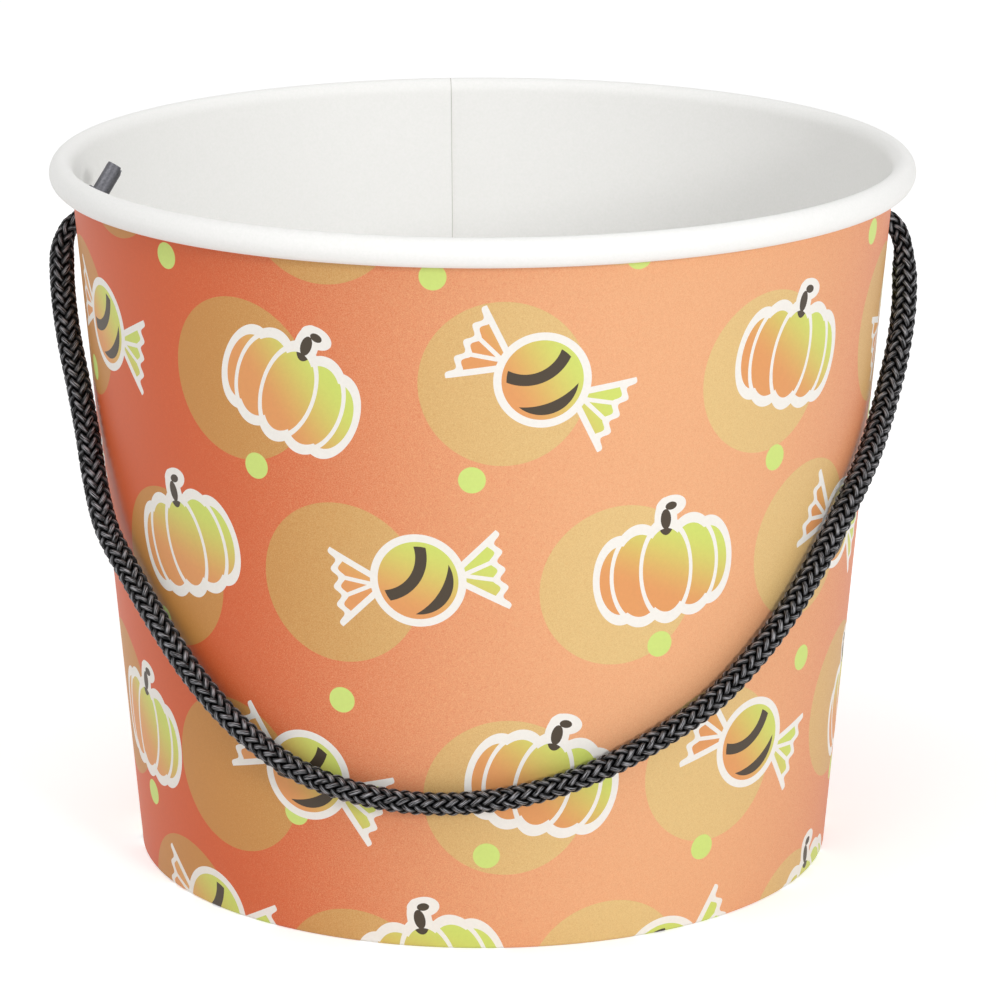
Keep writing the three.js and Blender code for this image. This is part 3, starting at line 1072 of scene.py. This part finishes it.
# %% [markdown]
# ## Material: black polypropylene yarn
#
# Each strand is a bundle of a hundred or so continuous plastic filaments, dyed black in the melt.
# They lie side by side along the strand, so it shines across its length in fine streaks. The yarn
# map that was made with the strands runs round and along each one, and noise stretched along it
# gives the filaments. Real ones are 0.05 mm thick and would not show, so these are several times
# that. On the crest of each strand, where it lies on top of the braid, a grey highlight is painted
# into the colour along the brighter streaks. On its flanks, and where it dives under the next
# strands, the yarn keeps its plain black.

# %% Yarn
FILAMENTS_ROUND = 9
FILAMENT_RUN = 0.35
FILAMENT_RELIEF = 0.08 * MM
# The second colour is the grey of the highlight painted on the strand crests.
BLACK, CREST_HIGHLIGHT_GREY = "#020203", "#a0a0a4"

yarn, tree, shader = material(
    "black_polypropylene_yarn", Roughness=0.3, IOR=1.49, Specular_IOR_Level=0.15
)
lay = tree.nodes.new("ShaderNodeUVMap")
lay.uv_map = "yarn"
stretched = add(
    tree, VECTOR, lay.outputs[0], (FILAMENTS_ROUND, FILAMENT_RUN, 0), operation="MULTIPLY"
)
streaks = add(tree, NOISE, stretched, None, 1.0, 2.0, 0.5, noise_dimensions="2D")
across = add(tree, SPLIT, lay.outputs[0], use=0)
from_crest = add(tree, MATH, across, 2 * math.pi, -math.pi / 2, operation="MULTIPLY_ADD")
facing_out = add(tree, MATH, from_crest, operation="COSINE")
crest = add(tree, RAMP, facing_out, 0.5, 1.0, 0, 1, interpolation_type="SMOOTHSTEP")
bright = add(tree, RAMP, streaks, 0.38, 0.66, 0, 1, interpolation_type="SMOOTHSTEP")
weave = tree.nodes.new("ShaderNodeAttribute")
weave.attribute_name = "on_top"
height = weave.outputs["Fac"]
crown = add(tree, RAMP, height, 0.05, 1.0, 0, 1, interpolation_type="SMOOTHSTEP")
# Painted highlight: grey put into the yarn's colour on the outward crest of strands that lie on
# top, along the brighter streaks.
painted_highlight = all_of(tree, crest, bright, crown)
fibre = add(tree, MIX, painted_highlight, linear(BLACK), linear(CREST_HIGHLIGHT_GREY), data_type="RGBA")
tree.links.new(fibre, shader.inputs["Base Color"])
relief = add(tree, "ShaderNodeBump", 0.6, FILAMENT_RELIEF, None, streaks)
tree.links.new(relief, shader.inputs["Normal"])

# %% [markdown]
# ## Material: tumbled steel
#
# The clips are stamped from thin mild steel and tumbled with a dark finish. That leaves a dull
# grey metal with worn, slightly brighter patches.

# %% Steel
steel, tree, shader = material("dark_tumbled_steel", Metallic=1.0)
place, *_ = place_of(tree)
wear = add(tree, NOISE, place, None, 1.4, 3.0, 0.55, noise_dimensions="3D")
shade = add(tree, MIX, wear, linear("#4d4d51"), linear("#77777c"), data_type="RGBA")
tree.links.new(shade, shader.inputs["Base Color"])
rough = add(tree, RAMP, wear, 0.3, 0.7, 0.48, 0.34)
tree.links.new(rough, shader.inputs["Roughness"])

# %% Put the finishes on the pieces
wall.data.materials[INNER_FACE] = white
wall.data.materials[OUTER_FACE] = printed
wall.data.materials[CUT_EDGE] = cut_edge
for piece in (neck_left, rope_left, rope_right, neck_right):
    piece.data.materials.append(yarn)
disc.data.materials.append(white)
for clip in clips:
    clip.data.materials.clear()
    clip.data.materials.append(steel)

# %% [markdown]
# ## Floor, light and background
#
# The product was photographed on white with soft lights, the strongest from the front right and
# low enough to reach the back of the inside. To the camera and in reflections the world is pure
# white. As a light it is turned down, so that the white board doesn't burn out. The floor is white
# paper that keeps a faint shadow, with a little glow that only the camera and reflections see.

# %% Stage
FLOOR_HALF = 3.0
FLOOR_GLOW = 0.42
WORLD_LIGHT = 0.58


def seen_by_eye(tree):
    """One for rays from the camera and for those that a shiny or clear surface sends on."""
    light_path = tree.nodes.new("ShaderNodeLightPath")
    kinds = ("Is Camera Ray", "Is Glossy Ray", "Is Transmission Ray")
    return any_of(tree, *(light_path.outputs[kind] for kind in kinds))


bpy.ops.object.select_all(action="DESELECT")
bpy.ops.mesh.primitive_plane_add(size=2 * FLOOR_HALF, location=(0, 0, 0))
floor = bpy.context.object
floor.name = "white_floor"
sweep, tree, shader = material("white_paper_sweep", "#f2f2f2", Roughness=0.9)
shader.inputs["Emission Color"].default_value = linear("#ffffff")
glow = add(tree, MATH, seen_by_eye(tree), FLOOR_GLOW, operation="MULTIPLY")
tree.links.new(glow, shader.inputs["Emission Strength"])
floor.data.materials.append(sweep)

world = bpy.data.worlds.new("white_studio")
bpy.context.scene.world = world
world.use_nodes = True
tree = world.node_tree
background = tree.nodes["Background"]
strength = add(tree, RAMP, seen_by_eye(tree), 0.0, 1.0, WORLD_LIGHT, 1.0)
background.inputs["Color"].default_value = linear("#ffffff")
tree.links.new(strength, background.inputs["Strength"])

# %% Lights
AIM = Vector((0, 0, 70 * MM))


def soft_box(name, place, size, watts):
    """A square area light that faces the tub."""
    light = bpy.data.lights.new(name, "AREA")
    light.shape = "SQUARE"
    light.size = size
    light.energy = watts
    lamp = bpy.data.objects.new(name, light)
    lamp.location = place
    lamp.rotation_euler = (AIM - Vector(place)).to_track_quat("-Z", "Y").to_euler()
    bpy.context.collection.objects.link(lamp)


soft_box("key_front_right", (1.0, -1.72, 0.72), 0.4, 14.5)
soft_box("fill_front_left", (-1.3, -1.5, 0.9), 1.2, 2.0)
soft_box("top", (-0.5, -0.55, 1.7), 1.2, 6.5)

bpy.context.scene.view_settings.view_transform = "Standard"
